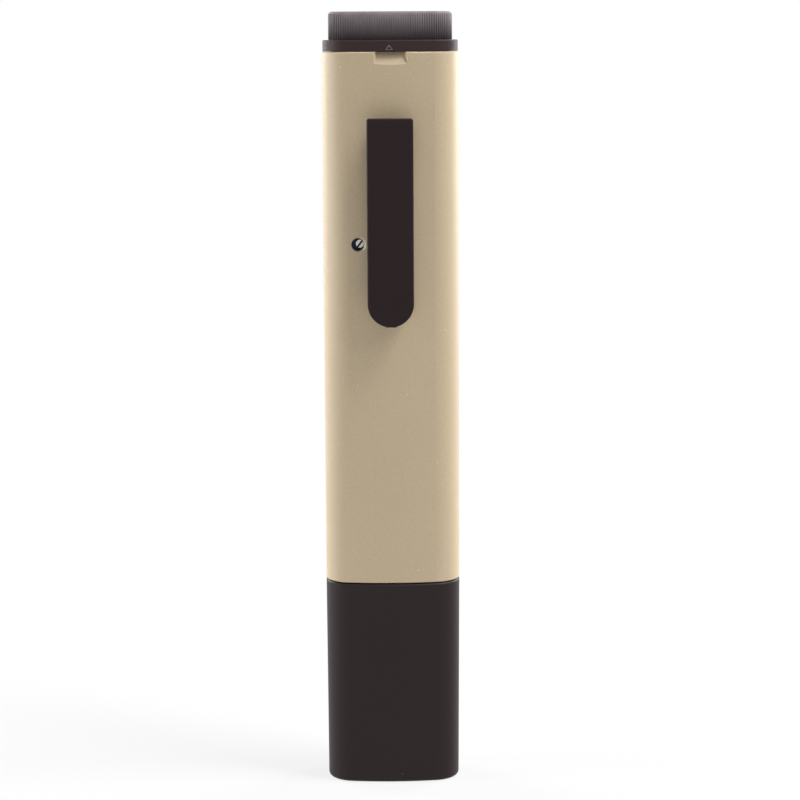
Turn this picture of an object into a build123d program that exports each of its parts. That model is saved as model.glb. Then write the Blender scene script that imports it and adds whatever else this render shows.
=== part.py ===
from build123d import *

import os
from math import atan, atan2, degrees, sqrt

# Conductivity tester pen, standing upright on its probe cap. All lengths are millimetres.
# The origin is the middle of the cap's flat bottom. +Z runs up the pen, the display looks along +Y,
# and the pocket clip and the calibration hole are on the -Y side.

# Whole pen
pen_length = 155.0
body_width = 27.0
body_depth = 16.0
face_radius = 60.0  # crown of the two broad faces
corner_radius = 5.7
smallest_round = 0.3
edge_break = 0.25

# Gaps
fit_gap = 0.1  # between moulded pieces that are put together once
slide_gap = 0.2  # between pieces that pull apart in use
bore_gap = 0.03  # round a pin or screw in its hole
seat_gap = 0.05  # between a part and the face that it rests on
joint_gap = 0.2  # the dark line between the cap's rim and the shells
seam_line = 0.08  # the fine line between the two shells

# Probe cap
cap_length = 41.4
cap_wall = 1.6
cap_floor = 2.0
cap_draft = 0.18  # each side is this much further in at the foot than at the rim
cap_foot_radius = 0.9

# Shells
shell_wall = 1.6
end_wall = 2.0  # the shells' lower end, which closes round the probe housing's groove
end_reach = 2.0  # how far that end wall stands in from the shells' inner face
lip_height = 0.9  # the lip on the rear shell that keys into the front shell
lip_thickness = 0.75
lip_stop = 2.0  # plain seam left at each end of the lip

# Calibration hole in the rear shell, and the trimmer behind it
hole_radius = 1.27
hole_x = -6.62
hole_drop = 37.5  # below the shells' top edge
hole_flare = 0.2  # chamfer round its mouth
trimmer_shift = 0.4  # the trimmer's axis lies this far to the side of the hole's
trimmer_side = 5.4
trimmer_height = 5.0
screw_radius = 0.95
screw_rise = 1.0
screw_slot = 0.35
screw_edge = 0.14
screw_slot_angle = 52.0
screw_shaft_radius = 0.6
screw_shaft_depth = 2.5

# Fingernail scoop in the rear shell's top edge
scoop_width = 6.6
scoop_height = 2.5
scoop_floor_width = 5.2
scoop_depth = 1.15

# Battery cap
grip_height = 5.5
grip_inset = 1.4
grip_edge_radius = 0.65
rib_pitch = 0.46
rib_depth = 0.13
flange_height = 2.2
flange_inset = 0.18
flange_edge_radius = 0.3
plug_length = 7.0
seal_height = 1.2
seal_depth = 0.8
seal_squeeze_gap = 0.08
cap_top_wall = 2.0
plug_wall = 1.5
web_width = 11.0
tenon_width = 8.0
tenon_depth = 2.6
tenon_length = 3.0

# Button cells and the tray that carries them
cell_radius = 5.8
cell_height = 5.4
cell_pole_radius = 4.6
cell_pole_rise = 0.3
cell_edge = 0.4
tray_wall = 1.0
tray_web = 0.8
tray_skin = 0.1  # the tray stands this far proud of the cells' faces
rail_width = 0.8
rail_height = 3.0
stop_thickness = 0.8

# Battery contacts
leaf_thickness = 0.2
leaf_width = 4.0
leaf_length = 8.0
leaf_rise = 0.55
bridge_rise = 0.28

# Pocket clip
clip_x = -0.25
clip_width = 9.1
clip_drop = 12.75  # its top lies this far below the shells' top edge
clip_length = 40.7
clip_thickness = 1.4
clip_standoff = 2.4  # clear space between the clip and the shell
clip_corner_radius = 0.5
clip_edge_radius = 0.35
clip_root_length = 10.4  # the upper stretch, which doesn't flex
clip_bead_radius = 5.0  # a shallow bump, cut from a round this large
clip_bead_up = 4.8  # the bump's middle above the clip's tip
clip_bead_gap = 0.35
clip_foot_width = 7.4
clip_foot_height = 8.4
clip_foot_sink = 0.8
clip_neck_width = 6.2
clip_neck_height = 7.2

# Display
window_drop = 20.7
window_width = 17.6
window_height = 12.0
window_thickness = 0.95
window_corner = 1.5
window_ledge = 1.2
lcd_width = 17.6
lcd_height = 15.0
lcd_glass = 0.9
lcd_ledge = 1.6
lcd_front_gap = 0.38  # below the front shell's wall, at the holder's sides
zebra_width = 1.8
holder_wall = 0.8
holder_lip = 0.4
holder_lip_width = 14.0

# Buttons
button_count = 3
button_radius = 3.4
button_drop = 43.0
button_pitch = 10.5
button_rise = 0.6
button_crown = 0.5
button_flange = 1.0
button_flange_thickness = 0.7
switch_side = 6.0
switch_height = 2.8
plunger_radius = 1.7
plunger_length = 1.3
plunger_show = 0.6
dome_radius = 1.5
dome_thickness = 0.15
dome_rise = 0.25
dome_top_radius = 0.6
switch_floor = 1.0

# Circuit board
contact_space = 0.94  # between the battery tray and the board
board_thickness = 1.0
board_width = 21.0
board_tongue_width = 13.0
board_top_gap = 3.8  # below the battery cap's plug
board_corner = 1.0
post_radius = 2.0
post_x = 8.8
upper_post_drop = 32.6
lower_post_rise = 14.0  # above the probe housing's collar
board_screw_head = 1.4
board_screw_head_height = 1.0
board_screw_shank = 0.75
board_screw_grip = 3.0
screw_tip_space = 0.3

# Parts on the circuit board
chip_side = 7.0
chip_height = 1.4
chip_lead_reach = 0.9
chip_leads = 8
chip_drop = 53.0
crystal_radius = 1.0
crystal_length = 6.0
crystal_x = -7.0
crystal_drop = 56.0
small_part_drop = 66.0
small_part_pitch = 3.0
resistor_count = 5
resistor_size = (1.6, 0.5, 0.8)
capacitor_count = 4
capacitor_size = (2.0, 1.2, 1.25)

# Probe housing: collar, groove, neck and guard
collar_height = 3.4
gasket_height = 1.2
gasket_depth = 0.8
neck_length = 21.4
neck_lead_in = 0.6
housing_wall = 1.4
guard_length = 12.0
guard_inset = 4.0
guard_wall = 1.4
guard_window_width = 8.0
guard_window_height = 8.6
guard_edge_radius = 0.5
probe_floor = 4.0

# Electrodes and temperature sensor
pin_radius = 1.0
pin_x = 4.0
pin_recess = 1.5  # behind the guard's mouth
pin_nose = 0.8
pin_collar_radius = 2.3
pin_collar_height = 0.7
tail_radius = 0.4
tail_overlap = 4.0
board_rise = 4.5  # from the probe housing's floor to the board's lower edge
pin_seal_section = 0.84
pin_seal_pocket = 1.1
sensor_radius = 0.95
sensor_depth = 2.5
sensor_round = 0.55
sensor_lead_radius = 0.22
sensor_lead_x = 0.45

# Levels up the pen
body_bottom = cap_length + joint_gap
flange_bottom = pen_length - grip_height - flange_height
grip_bottom = pen_length - grip_height
body_top = flange_bottom - fit_gap
hole_z = body_top - hole_drop
window_z = body_top - window_drop
clip_top = body_top - clip_drop
clip_tip = clip_top - clip_length
clip_flex_z = clip_top - clip_root_length
plug_bottom = body_top - plug_length
tray_length = 4 * (cell_radius + fit_gap) + tray_web + 2 * tray_wall
tray_top = plug_bottom
tray_bottom = tray_top - tray_length
cell_pitch = 2 * (cell_radius + fit_gap) + tray_web
lower_cell_z = tray_bottom + tray_wall + fit_gap + cell_radius
cell_levels = (lower_cell_z, lower_cell_z + cell_pitch)
button_levels = [body_top - button_drop - i * button_pitch for i in range(button_count)]
collar_bottom = body_bottom + end_wall + fit_gap
collar_top = collar_bottom + collar_height
gasket_bottom = collar_bottom + (collar_height - gasket_height) / 2
neck_bottom = body_bottom - neck_length
guard_bottom = neck_bottom - guard_length
probe_floor_top = neck_bottom + probe_floor
board_bottom = probe_floor_top + board_rise
board_shoulder = collar_top + seat_gap
post_levels = (board_shoulder + lower_post_rise, body_top - upper_post_drop)
board_top = plug_bottom - board_top_gap

def pen_section(plane, inset):
    """The pen's cross-section on a plane, drawn in by inset: crowned faces, flat sides, round corners."""
    crown_centre = body_depth / 2 - face_radius
    with BuildSketch(plane) as section:
        Rectangle(body_width - 2 * inset, 2 * body_depth)
        for side in (-1, 1):
            with Locations((0, side * crown_centre)):
                Circle(face_radius - inset, mode=Mode.INTERSECT)
        fillet(section.vertices(), max(corner_radius - inset, smallest_round))
    return section.sketch


def pen_block(bottom, top, inset, mode=Mode.ADD):
    """Adds a length of the pen's cross-section to the open part, or cuts it away."""
    extrude(pen_section(Plane.XY.offset(bottom), inset), amount=top - bottom, mode=mode)


def broad_face(x, inset):
    """How far a crowned face drawn in by inset lies from the middle plane, at x."""
    return sqrt((face_radius - inset) ** 2 - x**2) - face_radius + body_depth / 2


def facing(y):
    """A plane at y whose sketch axes are X and Z. An extrusion from it runs towards -Y."""
    return Plane.XZ.offset(-y)


def turned(foot, corners, mode=Mode.ADD):
    """Adds a turned form to the open part: foot is a plane at its foot with z_dir along its axis,
    and corners are (radius, height) points of its outline, from the foot to the far end."""
    profile_plane = Plane(foot.origin, x_dir=foot.x_dir, z_dir=foot.x_dir.cross(foot.z_dir))
    with BuildSketch(profile_plane) as profile:
        with BuildLine():
            Polyline((0, corners[0][1]), *corners, (0, corners[-1][1]), close=True)
        make_face()
    revolve(profile.sketch, axis=Axis(foot.origin, foot.z_dir), mode=mode)


def seam_ring(gap, end_gap):
    """The lip that keys the shells together, or with a gap the rebate that takes it."""
    ring_bottom = body_bottom + end_wall + lip_stop - end_gap
    ring_top = body_top - scoop_height - lip_stop + end_gap
    reach = lip_height + gap
    with BuildPart() as ring:
        pen_block(ring_bottom, ring_top, shell_wall - lip_thickness - gap)
        pen_block(ring_bottom, ring_top, shell_wall, Mode.SUBTRACT)
        with Locations((0, reach / 2, (ring_bottom + ring_top) / 2)):
            Box(body_width, reach, ring_top - ring_bottom, mode=Mode.INTERSECT)
    return ring.part


def shell_tube():
    """Both shells in one, before they part: a tube with an end wall at the bottom."""
    with BuildPart() as tube:
        pen_block(body_bottom, body_top, 0)
        fillet(tube.faces().sort_by(Axis.Z)[0].edges(), edge_break)
        fillet(tube.faces().sort_by(Axis.Z)[-1].edges(), edge_break)
        pen_block(body_bottom + end_wall, body_top, shell_wall, Mode.SUBTRACT)
        pen_block(body_bottom, body_top, shell_wall + end_reach, Mode.SUBTRACT)
    return tube.part


# Places across the pen
front_face = body_depth / 2
rear_face = -body_depth / 2
rear_inner = rear_face + shell_wall
clip_inner = rear_face - clip_standoff
clip_outer = clip_inner - clip_thickness
trimmer_x = hole_x + trimmer_shift
tray_width = 2 * (cell_radius + fit_gap + tray_wall)
tray_thickness = cell_height + 2 * tray_skin
tray_rear = slide_gap + seat_gap - broad_face(tray_width / 2, shell_wall)
tray_front = tray_rear + tray_thickness
tray_middle = (tray_rear + tray_front) / 2
board_rear = tray_front + contact_space
board_front = board_rear + board_thickness
pin_y = board_rear - tail_radius - seat_gap
holder_width = lcd_width + 2 * (fit_gap + holder_wall)
holder_height = lcd_height + 2 * (fit_gap + holder_wall)
lcd_front = broad_face(holder_width / 2, shell_wall) - lcd_front_gap
lcd_rear = lcd_front - 2 * lcd_glass
zebra_height = lcd_rear - board_front

os.makedirs("parts", exist_ok=True)

# Probe cap: a drafted thimble that closes over the electrodes and is the pen's foot
cap_taper = degrees(atan(cap_draft / cap_length))
cap_rim = Plane((0, 0, cap_length), x_dir=(1, 0, 0), z_dir=(0, 0, -1))
with BuildPart() as probe_cap:
    extrude(pen_section(cap_rim, 0), amount=cap_length, taper=cap_taper)
    fillet(probe_cap.faces().sort_by(Axis.Z)[0].edges(), cap_foot_radius)
    extrude(
        pen_section(cap_rim, cap_wall),
        amount=cap_length - cap_floor,
        taper=cap_taper,
        mode=Mode.SUBTRACT,
    )
    chamfer(probe_cap.faces().sort_by(Axis.Z)[-1].edges(), edge_break)
probe_cap.part.label = "probe_cap"
export_step(probe_cap.part, "parts/probe_cap.step")

# Rear shell
half_wall = shell_wall / 2
rail_x = tray_width / 2 + slide_gap + rail_width / 2
rail_front = rear_inner + rail_height
stop_top = tray_bottom - slide_gap
with BuildPart() as rear_ribs:
    for side in (-1, 1):
        with Locations((side * rail_x, rear_face, stop_top)):
            Box(
                rail_width,
                rail_front - rear_face,
                tray_top - stop_top - slide_gap,
                align=(Align.CENTER, Align.MIN, Align.MIN),
            )
    with Locations((0, rear_face, stop_top)):
        Box(
            tray_width + 2 * slide_gap + 2 * rail_width,
            rail_front - rear_face,
            stop_thickness,
            align=(Align.CENTER, Align.MIN, Align.MAX),
        )
    pen_block(body_bottom, body_top, half_wall, Mode.INTERSECT)

scoop_side_slope = (scoop_width - scoop_floor_width) / 2 / scoop_depth
scoop_floor_slope = scoop_height / scoop_depth
with BuildPart() as scoop:
    for depth in (-half_wall, scoop_depth):
        width = scoop_width - 2 * scoop_side_slope * depth
        floor_z = body_top - scoop_height + scoop_floor_slope * depth
        with BuildSketch(facing(rear_face + depth)):
            with Locations((0, floor_z)):
                Rectangle(width, 2 * scoop_height, align=(Align.CENTER, Align.MIN))
    loft()

with BuildPart() as rear_shell:
    add(shell_tube())
    split(bisect_by=Plane.XZ, keep=Keep.TOP)
    add(seam_ring(0, 0))
    add(rear_ribs.part)
    add(scoop.part, mode=Mode.SUBTRACT)
    with BuildSketch(facing(rear_inner + half_wall)):
        with Locations((hole_x, hole_z)):
            Circle(hole_radius)
    extrude(amount=shell_wall * 2, mode=Mode.SUBTRACT)
    flare_foot = Plane(
        (hole_x, hole_flare - broad_face(hole_x, 0), hole_z), x_dir=(1, 0, 0), z_dir=(0, -1, 0)
    )
    flare_end = 2 * hole_flare
    turned(flare_foot, [(hole_radius, 0), (hole_radius + flare_end, flare_end)], Mode.SUBTRACT)
    with BuildSketch(facing(rear_face + clip_foot_sink)):
        with Locations((clip_x, clip_top - clip_root_length / 2)):
            RectangleRounded(clip_foot_width, clip_foot_height, smallest_round)
    extrude(amount=clip_foot_sink * 2, mode=Mode.SUBTRACT)
rear_shell.part.label = "rear_shell"
export_step(rear_shell.part, "parts/rear_shell.step")

# Front shell
opening_width = window_width - 2 * window_ledge
opening_height = window_height - 2 * window_ledge
window_seat = window_thickness + seat_gap
with BuildPart() as window_recess:
    with BuildSketch(facing(front_face + half_wall)):
        with Locations((0, window_z)):
            RectangleRounded(
                window_width + 2 * fit_gap, window_height + 2 * fit_gap, window_corner + fit_gap
            )
    extrude(amount=front_face)
    pen_block(body_bottom, body_top, window_seat, Mode.SUBTRACT)

with BuildPart() as board_posts:
    with BuildSketch(facing(front_face)):
        with Locations(*[(side * post_x, z) for side in (-1, 1) for z in post_levels]):
            Circle(post_radius)
    extrude(amount=front_face - board_front)
    pen_block(body_bottom, body_top, half_wall, Mode.INTERSECT)

pilot_depth = board_screw_grip + screw_tip_space
with BuildPart() as front_shell:
    add(shell_tube())
    split(bisect_by=Plane.XZ.offset(-seam_line), keep=Keep.BOTTOM)
    add(seam_ring(seat_gap, fit_gap), mode=Mode.SUBTRACT)
    add(board_posts.part)
    add(window_recess.part, mode=Mode.SUBTRACT)
    with BuildSketch(facing(front_face + half_wall)):
        with Locations((0, window_z)):
            RectangleRounded(opening_width, opening_height, window_corner - window_ledge / 2)
    extrude(amount=shell_wall * 2, mode=Mode.SUBTRACT)
    with BuildSketch(facing(front_face + half_wall)):
        with Locations(*[(0, z) for z in button_levels]):
            Circle(button_radius + slide_gap)
    extrude(amount=shell_wall * 2, mode=Mode.SUBTRACT)
    with BuildSketch(facing(board_front + pilot_depth)):
        with Locations(*[(side * post_x, z) for side in (-1, 1) for z in post_levels]):
            Circle(board_screw_shank + bore_gap)
    extrude(amount=pilot_depth, mode=Mode.SUBTRACT)
front_shell.part.label = "front_shell"
export_step(front_shell.part, "parts/front_shell.step")

# Display window, flush with the crowned face
with BuildPart() as display_window:
    with BuildSketch(facing(front_face)):
        with Locations((0, window_z)):
            RectangleRounded(window_width, window_height, window_corner)
    extrude(amount=front_face)
    pen_block(body_bottom, body_top, 0, Mode.INTERSECT)
    pen_block(body_bottom, body_top, window_thickness, Mode.SUBTRACT)
display_window.part.label = "display_window"
export_step(display_window.part, "parts/display_window.step")

# Battery cap: a ribbed grip and a flange over a plug that fits inside the shells
plug_inset = shell_wall + slide_gap
seal_bottom = (plug_bottom + flange_bottom - seal_height) / 2
seal_top = seal_bottom + seal_height
cavity_inset = plug_inset + seal_depth + plug_wall
with BuildPart() as plug_cavities:
    pen_block(plug_bottom, pen_length - cap_top_wall, cavity_inset)
    with Locations((0, 0, plug_bottom)):
        Box(
            web_width,
            body_depth,
            pen_length,
            align=(Align.CENTER, Align.CENTER, Align.MIN),
            mode=Mode.SUBTRACT,
        )

grip_outline = pen_section(Plane.XY.offset(grip_bottom), grip_inset).face().outer_wire()
rib_count = 2 * round(grip_outline.length / rib_pitch / 2)
groove_places = []
for i in range(rib_count):
    point = grip_outline.position_at(i / rib_count)
    along = grip_outline.tangent_at(i / rib_count)
    turn = degrees(atan2(along.Y, along.X))
    groove_places.append(Location((point.X, point.Y, 0), (0, 0, turn)))
with BuildPart() as flange:
    pen_block(flange_bottom, grip_bottom, flange_inset)
    fillet(flange.faces().sort_by(Axis.Z)[-1].edges(), flange_edge_radius)

with BuildPart() as battery_cap:
    pen_block(grip_bottom, pen_length, grip_inset)
    fillet(battery_cap.faces().sort_by(Axis.Z)[-1].edges(), grip_edge_radius)
    with BuildSketch(Plane.XY.offset(grip_bottom)):
        with Locations(*groove_places):
            RegularPolygon(rib_depth, 4)
    extrude(amount=grip_height, mode=Mode.SUBTRACT)
    add(flange.part)
    pen_block(seal_top, flange_bottom, plug_inset)
    pen_block(seal_bottom, seal_top, plug_inset + seal_depth)
    pen_block(plug_bottom, seal_bottom, plug_inset)
    add(plug_cavities.part, mode=Mode.SUBTRACT)
    with Locations((0, tray_middle, plug_bottom)):
        Box(
            tenon_width + 2 * fit_gap,
            tenon_depth + 2 * fit_gap,
            tenon_length + fit_gap,
            align=(Align.CENTER, Align.CENTER, Align.MIN),
            mode=Mode.SUBTRACT,
        )
battery_cap.part.label = "battery_cap"
export_step(battery_cap.part, "parts/battery_cap.step")

# Rubber seal in the plug's groove
with BuildPart() as battery_seal:
    pen_block(seal_bottom + seat_gap, seal_top - seat_gap, shell_wall + seal_squeeze_gap)
    pen_block(seal_bottom, seal_top, plug_inset + seal_depth - seat_gap, Mode.SUBTRACT)
battery_seal.part.label = "battery_seal"
export_step(battery_seal.part, "parts/battery_seal.step")

# Battery tray: a frame with two round pockets, pinned into the plug by a tenon
with BuildPart() as battery_tray:
    with BuildSketch(facing(tray_front)):
        with Locations((0, (tray_bottom + tray_top) / 2)):
            Rectangle(tray_width, tray_length)
        with Locations(*[(0, z) for z in cell_levels]):
            Circle(cell_radius + fit_gap, mode=Mode.SUBTRACT)
    extrude(amount=tray_thickness)
    fillet(battery_tray.edges().filter_by(Axis.Y).group_by(Axis.Z)[0], tray_wall)
    with Locations((0, tray_middle, tray_top)):
        Box(
            tenon_width,
            tenon_depth,
            tenon_length,
            align=(Align.CENTER, Align.CENTER, Align.MIN),
        )
battery_tray.part.label = "battery_tray"
export_step(battery_tray.part, "parts/battery_tray.step")

# Button cells: a rounded can with a smaller pole, the two facing opposite ways
for name, z, pole_side in zip(("lower_cell", "upper_cell"), cell_levels, (1, -1)):
    cell_foot = Plane(
        (0, tray_middle + pole_side * cell_height / 2, z), x_dir=(1, 0, 0), z_dir=(0, -pole_side, 0)
    )
    with BuildPart() as cell:
        turned(
            cell_foot,
            [
                (cell_pole_radius, 0),
                (cell_pole_radius, cell_pole_rise),
                (cell_radius - cell_edge, cell_pole_rise),
                (cell_radius, cell_pole_rise + cell_edge),
                (cell_radius, cell_height - cell_edge),
                (cell_radius - cell_edge, cell_height),
            ],
        )
    cell.part.label = name
    export_step(cell.part, f"parts/{name}.step")


def bowed_leaf(foot_y, rise, levels, half_length, mode=Mode.ADD):
    """Adds a strip of spring metal to the open part: it lies at foot_y and bows by rise at each level."""
    for z in levels:
        with BuildSketch(Plane.YZ.offset(-leaf_width / 2)) as leaf:
            with BuildLine():
                ends = [(foot_y, z - half_length), (foot_y, z + half_length)]
                ThreePointArc(ends[0], (foot_y + rise, z), ends[1])
                thick = leaf_thickness if rise < 0 else -leaf_thickness
                Line(ends[1], (foot_y + thick, z + half_length))
                ThreePointArc(
                    (foot_y + thick, z + half_length),
                    (foot_y + rise + thick, z),
                    (foot_y + thick, z - half_length),
                )
                Line((foot_y + thick, z - half_length), ends[0])
            make_face()
        extrude(leaf.sketch, amount=leaf_width, mode=mode)


# Battery contacts: two bowed leaves soldered to the board, and a bridge behind the cells
leaf_foot_y = board_rear - leaf_thickness - seat_gap
for name, z in zip(("negative_contact", "positive_contact"), cell_levels):
    with BuildPart() as contact:
        bowed_leaf(leaf_foot_y, -leaf_rise, [z], leaf_length / 2)
    contact.part.label = name
    export_step(contact.part, f"parts/{name}.step")

bridge_y = rear_inner + leaf_thickness + seat_gap
with BuildPart() as bridge_contact:
    bowed_leaf(bridge_y, bridge_rise, cell_levels, leaf_length / 2)
    with BuildSketch(facing(bridge_y)):
        with Locations((0, (cell_levels[0] + cell_levels[1]) / 2)):
            Rectangle(leaf_width, cell_pitch - leaf_length)
    extrude(amount=leaf_thickness)
bridge_contact.part.label = "bridge_contact"
export_step(bridge_contact.part, "parts/bridge_contact.step")


def clip_front():
    """The clip as seen from the front: square at the top, with a round tip."""
    with BuildSketch(facing(rear_face)) as front:
        with BuildLine():
            half = clip_width / 2
            top_left = (clip_x - half, clip_top)
            top_right = (clip_x + half, clip_top)
            left_end = (clip_x - half, clip_tip + half)
            right_end = (clip_x + half, clip_tip + half)
            Polyline(left_end, top_left, top_right, right_end)
            ThreePointArc(right_end, (clip_x, clip_tip), left_end)
        make_face()
        fillet(front.vertices().group_by(Axis.Y)[-1], clip_corner_radius)
    return front.sketch


def clip_plate():
    """The clip's whole plate with its bead, before it parts at the flex line."""
    with BuildPart() as plate:
        extrude(clip_front(), amount=clip_standoff + clip_thickness)
        with BuildSketch(Plane.YZ.offset(clip_x - clip_width / 2)) as side:
            with Locations(((clip_outer + clip_inner) / 2, (clip_top + clip_tip) / 2)):
                Rectangle(clip_thickness, clip_length)
            with Locations((rear_face - clip_bead_gap - clip_bead_radius, clip_tip + clip_bead_up)):
                Circle(clip_bead_radius)
            with Locations((clip_outer, clip_tip)):
                Rectangle(
                    2 * clip_bead_radius,
                    4 * clip_bead_radius,
                    align=(Align.MAX, Align.CENTER),
                    mode=Mode.SUBTRACT,
                )
        extrude(amount=clip_width, mode=Mode.INTERSECT)
        fillet(plate.faces().sort_by(Axis.Y)[0].edges(), clip_edge_radius)
    return plate.part


# Pocket clip: the blade flexes below its root, which is set into the rear shell
flex_gap = seat_gap
with BuildPart() as clip_blade:
    add(clip_plate())
    split(bisect_by=Plane.XY.offset(clip_flex_z - flex_gap), keep=Keep.BOTTOM)
clip_blade.part.label = "clip_blade"
export_step(clip_blade.part, "parts/clip_blade.step")

with BuildPart() as clip_root:
    add(clip_plate())
    split(bisect_by=Plane.XY.offset(clip_flex_z), keep=Keep.TOP)
    root_middle = clip_top - clip_root_length / 2
    with BuildSketch(facing(rear_face + clip_foot_sink - seat_gap)):
        with Locations((clip_x, root_middle)):
            RectangleRounded(clip_neck_width, clip_neck_height, smallest_round)
    extrude(amount=clip_foot_sink + clip_standoff)
    with BuildSketch(facing(rear_face + clip_foot_sink - seat_gap)):
        with Locations((clip_x, root_middle)):
            RectangleRounded(
                clip_foot_width - 2 * seat_gap, clip_foot_height - 2 * seat_gap, smallest_round
            )
    extrude(amount=clip_foot_sink)
clip_root.part.label = "clip_root"
export_step(clip_root.part, "parts/clip_root.step")

# Circuit board: a broad board with a tongue that reaches down to the electrodes
with BuildPart() as circuit_board:
    with BuildSketch(facing(board_front)) as board_outline:
        with Locations((0, board_shoulder)):
            Rectangle(board_width, board_top - board_shoulder, align=(Align.CENTER, Align.MIN))
        with Locations((0, board_bottom)):
            Rectangle(
                board_tongue_width,
                board_shoulder - board_bottom,
                align=(Align.CENTER, Align.MIN),
            )
        fillet(board_outline.vertices().group_by(Axis.Y)[-1], board_corner)
        fillet(board_outline.vertices().group_by(Axis.Y)[0], board_corner)
        with Locations(*[(side * post_x, z) for side in (-1, 1) for z in post_levels]):
            Circle(board_screw_shank + fit_gap, mode=Mode.SUBTRACT)
    extrude(amount=board_thickness)
circuit_board.part.label = "circuit_board"
export_step(circuit_board.part, "parts/circuit_board.step")

# Four pan-head screws that hold the board to the front shell's posts
screw_tip = board_screw_head_height + board_thickness + board_screw_grip
with BuildPart() as board_screws:
    for side in (-1, 1):
        for z in post_levels:
            screw_foot = Plane(
                (side * post_x, board_rear - board_screw_head_height, z),
                x_dir=(1, 0, 0),
                z_dir=(0, 1, 0),
            )
            turned(
                screw_foot,
                [
                    (board_screw_head, 0),
                    (board_screw_head, board_screw_head_height),
                    (board_screw_shank, board_screw_head_height),
                    (board_screw_shank, screw_tip),
                ],
            )
    chamfer(board_screws.faces().group_by(Axis.Y)[0].edges(), edge_break)
    chamfer(board_screws.faces().group_by(Axis.Y)[-1].edges(), edge_break)
board_screws.part.label = "board_screws"
export_step(board_screws.part, "parts/board_screws.step")

# Main chip with its leads, on the board's rear face
chip_z = body_top - chip_drop
lead_pitch = chip_side / (chip_leads + 1)
lead_span = chip_side + 2 * chip_lead_reach
with BuildPart() as main_chip:
    with Locations((0, board_rear, chip_z)):
        Box(chip_side, chip_height, chip_side, align=(Align.CENTER, Align.MAX, Align.CENTER))
    for i in range(chip_leads):
        lead_z = chip_z + (i - (chip_leads - 1) / 2) * lead_pitch
        with Locations((0, board_rear, lead_z)):
            Box(
                lead_span,
                leaf_thickness,
                lead_pitch / 2,
                align=(Align.CENTER, Align.MAX, Align.CENTER),
            )
main_chip.part.label = "main_chip"
export_step(main_chip.part, "parts/main_chip.step")

# Crystal: a small can that lies on the board
with BuildPart() as crystal:
    crystal_foot = Plane(
        (crystal_x, board_rear - crystal_radius - seat_gap, body_top - crystal_drop),
        x_dir=(1, 0, 0),
        z_dir=(0, 0, 1),
    )
    turned(crystal_foot, [(crystal_radius, 0), (crystal_radius, crystal_length)])
    fillet(crystal.edges().filter_by(GeomType.CIRCLE), smallest_round)
crystal.part.label = "crystal"
export_step(crystal.part, "parts/crystal.step")

# Resistors and capacitors, in two rows on the board's rear face
small_rows = (
    ("resistors", small_part_drop, resistor_size, resistor_count),
    ("capacitors", small_part_drop + small_part_pitch, capacitor_size, capacitor_count),
)
for name, drop, (width, height, depth), count in small_rows:
    with BuildPart() as row:
        for i in range(count):
            with Locations(((i - (count - 1) / 2) * small_part_pitch, board_rear, body_top - drop)):
                Box(width, height, depth, align=(Align.CENTER, Align.MAX, Align.CENTER))
    row.part.label = name
    export_step(row.part, f"parts/{name}.step")

# LCD panel: two glass plates, the rear one longer where the zebra strips touch it
with BuildPart() as lcd_panel:
    with Locations((0, lcd_rear, window_z)):
        Box(lcd_width, lcd_glass, lcd_height, align=(Align.CENTER, Align.MIN, Align.CENTER))
    with Locations((0, lcd_rear + lcd_glass, window_z)):
        Box(
            lcd_width,
            lcd_glass,
            lcd_height - 2 * lcd_ledge,
            align=(Align.CENTER, Align.MIN, Align.CENTER),
        )
lcd_panel.part.label = "lcd_panel"
export_step(lcd_panel.part, "parts/lcd_panel.step")

# Zebra strips between the board and the panel's ledges
for name, side in (("lower_zebra_strip", -1), ("upper_zebra_strip", 1)):
    with BuildPart() as strip:
        strip_z = window_z + side * (lcd_height - zebra_width) / 2
        with Locations((0, (board_front + lcd_rear) / 2, strip_z)):
            Box(lcd_width - 2 * holder_wall, zebra_height - 2 * bore_gap, zebra_width)
    strip.part.label = name
    export_step(strip.part, f"parts/{name}.step")

# LCD holder: a frame round the panel, with a lip over each of the panel's ends
holder_depth = lcd_front - board_front
with BuildPart() as lcd_holder:
    with BuildSketch(facing(lcd_front)):
        with Locations((0, window_z)):
            Rectangle(holder_width, holder_height)
            Rectangle(lcd_width + 2 * fit_gap, lcd_height + 2 * fit_gap, mode=Mode.SUBTRACT)
    extrude(amount=holder_depth)
    for side in (-1, 1):
        with Locations((0, lcd_front, window_z + side * holder_height / 2)):
            Box(
                holder_lip_width,
                holder_lip,
                holder_wall + fit_gap + lcd_ledge,
                align=(Align.CENTER, Align.MIN, Align.MIN if side < 0 else Align.MAX),
            )
lcd_holder.part.label = "lcd_holder"
export_step(lcd_holder.part, "parts/lcd_holder.step")

# Three tactile switches: square housings with a round well, and a dome on each well's floor
switch_front = board_front + switch_height
plunger_front = switch_front + plunger_show
plunger_rear = plunger_front - plunger_length
well_floor = board_front + switch_floor
with BuildPart() as switch_housings:
    for z in button_levels:
        with Locations((0, board_front, z)):
            Box(
                switch_side,
                switch_height,
                switch_side,
                align=(Align.CENTER, Align.MIN, Align.CENTER),
            )
    fillet(switch_housings.edges().filter_by(Axis.Y), smallest_round)
    with BuildSketch(facing(switch_front)):
        with Locations(*[(0, z) for z in button_levels]):
            Circle(plunger_radius + fit_gap)
    extrude(amount=switch_front - well_floor, mode=Mode.SUBTRACT)
switch_housings.part.label = "switch_housings"
export_step(switch_housings.part, "parts/switch_housings.step")

with BuildPart() as switch_domes:
    for z in button_levels:
        dome_foot = Plane((0, well_floor, z), x_dir=(1, 0, 0), z_dir=(0, 1, 0))
        turned(
            dome_foot,
            [
                (dome_radius, 0),
                (dome_radius, dome_thickness),
                (dome_top_radius, dome_rise),
            ],
        )
switch_domes.part.label = "switch_domes"
export_step(switch_domes.part, "parts/switch_domes.step")

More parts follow.
